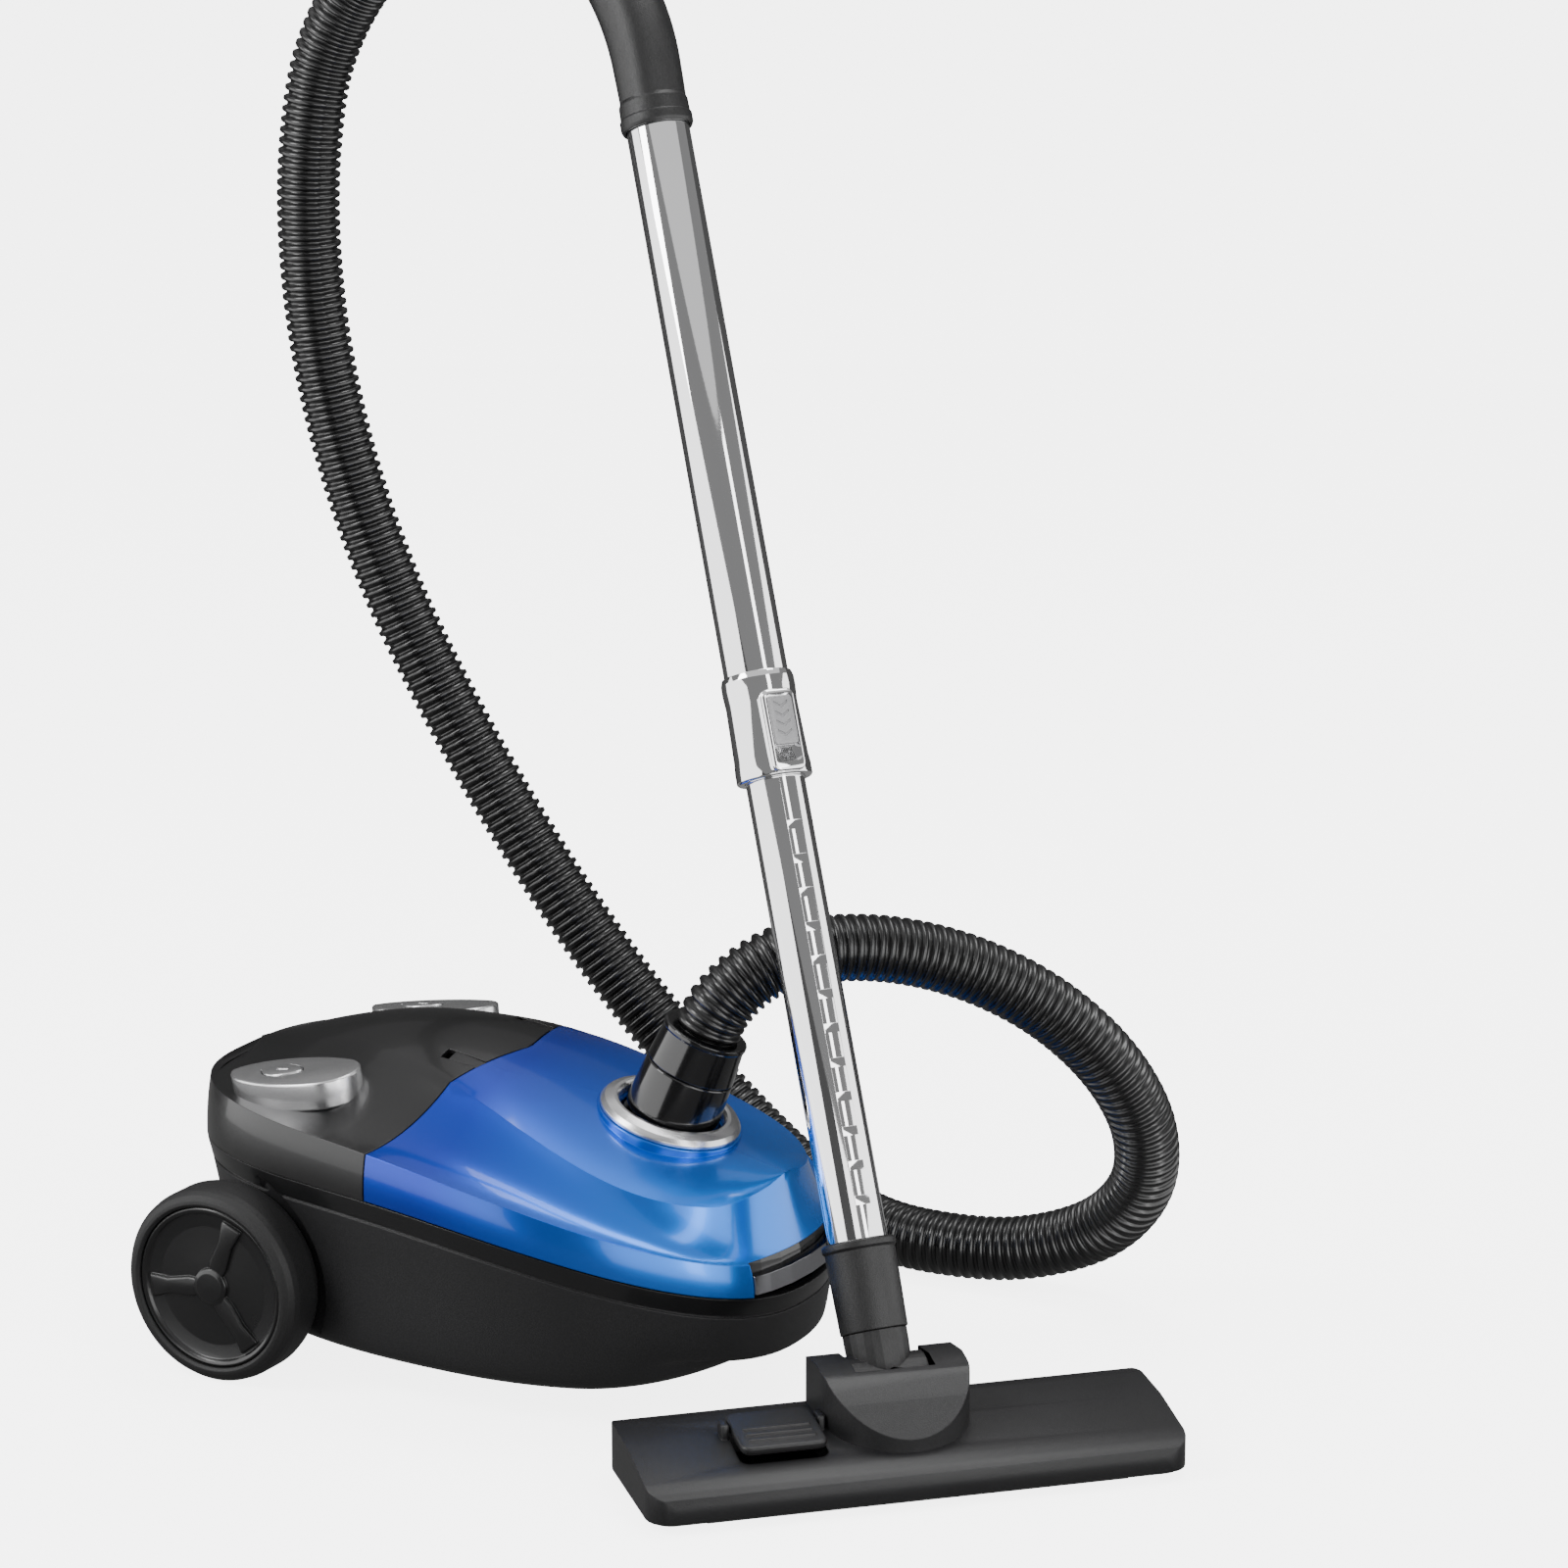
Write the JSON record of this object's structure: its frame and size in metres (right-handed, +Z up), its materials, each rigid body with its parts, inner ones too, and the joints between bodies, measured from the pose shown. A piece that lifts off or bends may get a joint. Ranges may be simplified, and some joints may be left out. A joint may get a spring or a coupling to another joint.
{
  "type": "canister vacuum cleaner",
  "caption": "Wheeled canister vacuum cleaner with a lidded bag compartment, corrugated hose, telescopic chrome wand and wide floor nozzle.",
  "frame": {"origin": "on the floor under the middle of the object's box, measured without the hose", "axes": "+Z up, +X towards the canister's front end with the latch, +Y towards the canister's left side"},
  "size_m": [0.6796, 0.4559, 0.8042],
  "materials": {
    "casing_blue": "satin metallic blue",
    "casing_black": "satin black",
    "casing_grey": "matt dark grey",
    "inner_plastic": "plain",
    "trim_silver": "satin silver",
    "tube_chrome": "polished",
    "wheel_rubber": "matt",
    "shaft_steel": "turned",
    "bag_paper": "uncoated",
    "filter_foam": "open foam",
    "hose_plastic": "semi-gloss corrugated"
  },
  "bodies": {
    "canister": {"base_shell": "casing_grey", "exhaust_grille": "casing_black", "rear_cover": "casing_black", "lid_hinge_pin": "shaft_steel", "power_pad": "trim_silver", "rewind_pad": "trim_silver", "cord_bush": "wheel_rubber", "axle_left": "shaft_steel", "axle_right": "shaft_steel", "bulkhead": "inner_plastic", "premotor_filter": "filter_foam", "dust_bag": "bag_paper", "bag_plate": "bag_paper", "motor_housing": "inner_plastic", "motor_ring": "wheel_rubber", "motor_saddle": "wheel_rubber", "motor_foot": "wheel_rubber", "reel_stand": "shaft_steel", "hose": "hose_plastic", "upper_tube": "tube_chrome", "tube_clamp": "tube_chrome", "handle_grip": "casing_black"},
    "lid": {"front_lid": "casing_blue", "latch_frame": "casing_black", "inlet_ring": "trim_silver", "inlet_socket": "casing_black", "inlet_seal": "wheel_rubber"},
    "cuff": {"cuff_lower": "casing_black", "cuff_upper": "casing_black"},
    "latch": {"latch_bar": "tube_chrome"},
    "wheel_left": {"tyre_left": "wheel_rubber", "hub_left": "casing_black"},
    "wheel_right": {"tyre_right": "wheel_rubber", "hub_right": "casing_black"},
    "caster": {"caster_fork": "casing_black", "caster_axle": "shaft_steel"},
    "caster_roller": {"caster_wheel": "wheel_rubber"},
    "power_key": {"power_button": "trim_silver"},
    "rewind_key": {"rewind_button": "trim_silver"},
    "reel_brake": {"brake_lever": "inner_plastic"},
    "motor_spindle": {"motor_rotor": "shaft_steel", "impeller": "shaft_steel"},
    "cord_reel": {"reel_drum": "inner_plastic"},
    "suction_control": {"suction_slider": "casing_black"},
    "tube_release": {"clamp_slider": "trim_silver"},
    "lower_wand": {"lower_tube": "tube_chrome", "neck_sleeve": "casing_black"},
    "neck": {"elbow": "casing_black"},
    "nozzle": {"nozzle_body": "casing_grey", "nozzle_hood": "casing_grey", "sole_plate": "casing_grey"},
    "foot_pedal": {"pedal": "casing_grey"},
    "brush": {"brush_strip": "wheel_rubber"},
    "nozzle_roller_left": {"nozzle_wheel_left": "wheel_rubber"},
    "nozzle_roller_right": {"nozzle_wheel_right": "wheel_rubber"}
  },
  "joints": [
    {"name": "lid_hinge", "type": "hinge", "parent": "canister", "child": "lid", "pos_m": [-0.126, 0.01, 0.168], "axis": [0, -1, 0], "range_deg": [0, 15], "deforming": ["hose"]},
    {"name": "cuff_swivel", "type": "hinge", "parent": "lid", "child": "cuff", "pos_m": [-0.016, 0.01, 0.14667], "axis": [0.3601, 0.1198, 0.9252], "continuous": true},
    {"name": "latch_lift", "type": "slide", "parent": "lid", "child": "latch", "axis": [0, 0, 1], "range_m": [0, 0.006], "stiffness_N_per_m": 400},
    {"name": "wheel_left_spin", "type": "hinge", "parent": "canister", "child": "wheel_left", "pos_m": [-0.23, 0.116, 0.055], "axis": [0, 1, 0], "continuous": true},
    {"name": "wheel_right_spin", "type": "hinge", "parent": "canister", "child": "wheel_right", "pos_m": [-0.23, -0.096, 0.055], "axis": [0, 1, 0], "continuous": true},
    {"name": "caster_swivel", "type": "hinge", "parent": "canister", "child": "caster", "pos_m": [-0.006, 0.01, 0.014], "axis": [0, 0, 1], "continuous": true},
    {"name": "caster_roll", "type": "hinge", "parent": "caster", "child": "caster_roller", "pos_m": [-0.012, 0.01, 0.014], "axis": [0, 1, 0], "continuous": true},
    {"name": "power_press", "type": "slide", "parent": "canister", "child": "power_key", "axis": [0.1384, 0.1045, -0.9848], "range_m": [0, 0.0025], "stiffness_N_per_m": 800},
    {"name": "rewind_press", "type": "slide", "parent": "canister", "child": "rewind_key", "axis": [0.1384, -0.1045, -0.9848], "range_m": [0, 0.0025], "stiffness_N_per_m": 800},
    {"name": "reel_brake_pivot", "type": "hinge", "parent": "canister", "child": "reel_brake", "pos_m": [-0.188, 0.0815, 0.1425], "axis": [0, 1, 0], "range_deg": [-5, 0]},
    {"name": "motor_spin", "type": "hinge", "parent": "canister", "child": "motor_spindle", "pos_m": [-0.244, -0.024, 0.084], "axis": [1, 0, 0], "continuous": true},
    {"name": "reel_spin", "type": "hinge", "parent": "canister", "child": "cord_reel", "pos_m": [-0.198, 0.056, 0.082], "axis": [0, 1, 0], "continuous": true},
    {"name": "suction_slide", "type": "slide", "parent": "canister", "child": "suction_control", "axis": [-0.6542, 0.2948, 0.6965], "range_m": [0, 0.012]},
    {"name": "tube_release_slide", "type": "slide", "parent": "canister", "child": "tube_release", "axis": [0.3379, -0.2546, -0.9061], "range_m": [0, 0.008], "stiffness_N_per_m": 200},
    {"name": "telescope", "type": "slide", "parent": "canister", "child": "lower_wand", "axis": [-0.3379, 0.2546, 0.9061], "range_m": [0, 0.07]},
    {"name": "neck_swivel", "type": "hinge", "parent": "lower_wand", "child": "neck", "pos_m": [0.146, -0.045, 0.038], "axis": [-0.3379, 0.2546, 0.9061], "range_deg": [-15, 60]},
    {"name": "nozzle_tilt", "type": "hinge", "parent": "neck", "child": "nozzle", "pos_m": [0.146, -0.045, 0.038], "axis": [0.7169, 0.6972, 0], "range_deg": [-20, 28]},
    {"name": "pedal_rock", "type": "hinge", "parent": "nozzle", "child": "foot_pedal", "pos_m": [0.11189, -0.10746, 0.033], "axis": [0.7169, 0.6972, 0], "range_deg": [-14, 0], "stiffness_Nm_per_rad": 1},
    {"name": "brush_lift", "type": "slide", "parent": "nozzle", "child": "brush", "axis": [0, 0, 1], "range_m": [0, 0.005]},
    {"name": "nozzle_left_roll", "type": "hinge", "parent": "nozzle", "child": "nozzle_roller_left", "pos_m": [0.20853, 0.02697, 0.009], "axis": [0.7169, 0.6972, 0], "continuous": true},
    {"name": "nozzle_right_roll", "type": "hinge", "parent": "nozzle", "child": "nozzle_roller_right", "pos_m": [0.07232, -0.1055, 0.009], "axis": [0.7169, 0.6972, 0], "continuous": true}
  ],
  "couplings": [
    {"joint": "reel_brake_pivot", "follows": "rewind_press", "rad_per_m": -30},
    {"joint": "brush_lift", "follows": "pedal_rock", "m_per_rad": -0.02}
  ]
}
